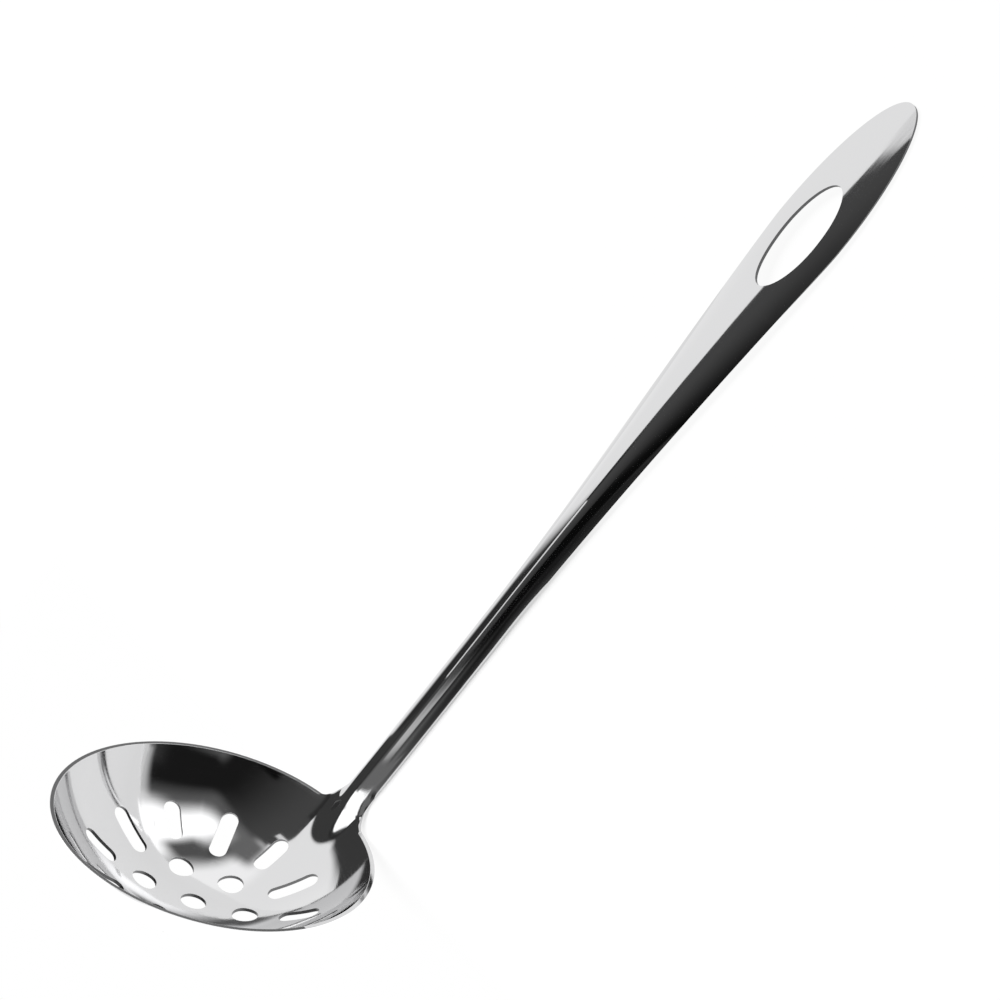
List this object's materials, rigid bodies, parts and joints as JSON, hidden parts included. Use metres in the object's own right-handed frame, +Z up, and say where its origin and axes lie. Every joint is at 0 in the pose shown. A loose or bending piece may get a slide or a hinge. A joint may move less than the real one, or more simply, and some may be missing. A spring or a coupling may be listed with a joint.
{
  "type": "perforated sauce ladle",
  "caption": "Polished steel draining ladle: a round drawn bowl pierced with holes and radial slots, welded to a channel handle that widens into a leaf-shaped grip with a long hanging eye.",
  "frame": {"origin": "centre of the ladle's footprint as it lies on the back of its handle: the middle of its overall box in X and Y, at the table's level", "axes": "+X along the handle from the bowl to the tip, +Y across the handle, +Z up from the table; the bowl opens towards +X and up"},
  "size_m": [0.293, 0.088, 0.0754],
  "materials": {
    "polished_steel": "polished bright, with faint lengthwise polishing marks",
    "dressed_weld": "dressed flush and polished, a little duller than the sheet"
  },
  "bodies": {
    "root": {"bowl": "polished_steel", "neck_weld": "dressed_weld", "handle": "polished_steel"}
  },
  "joints": []
}
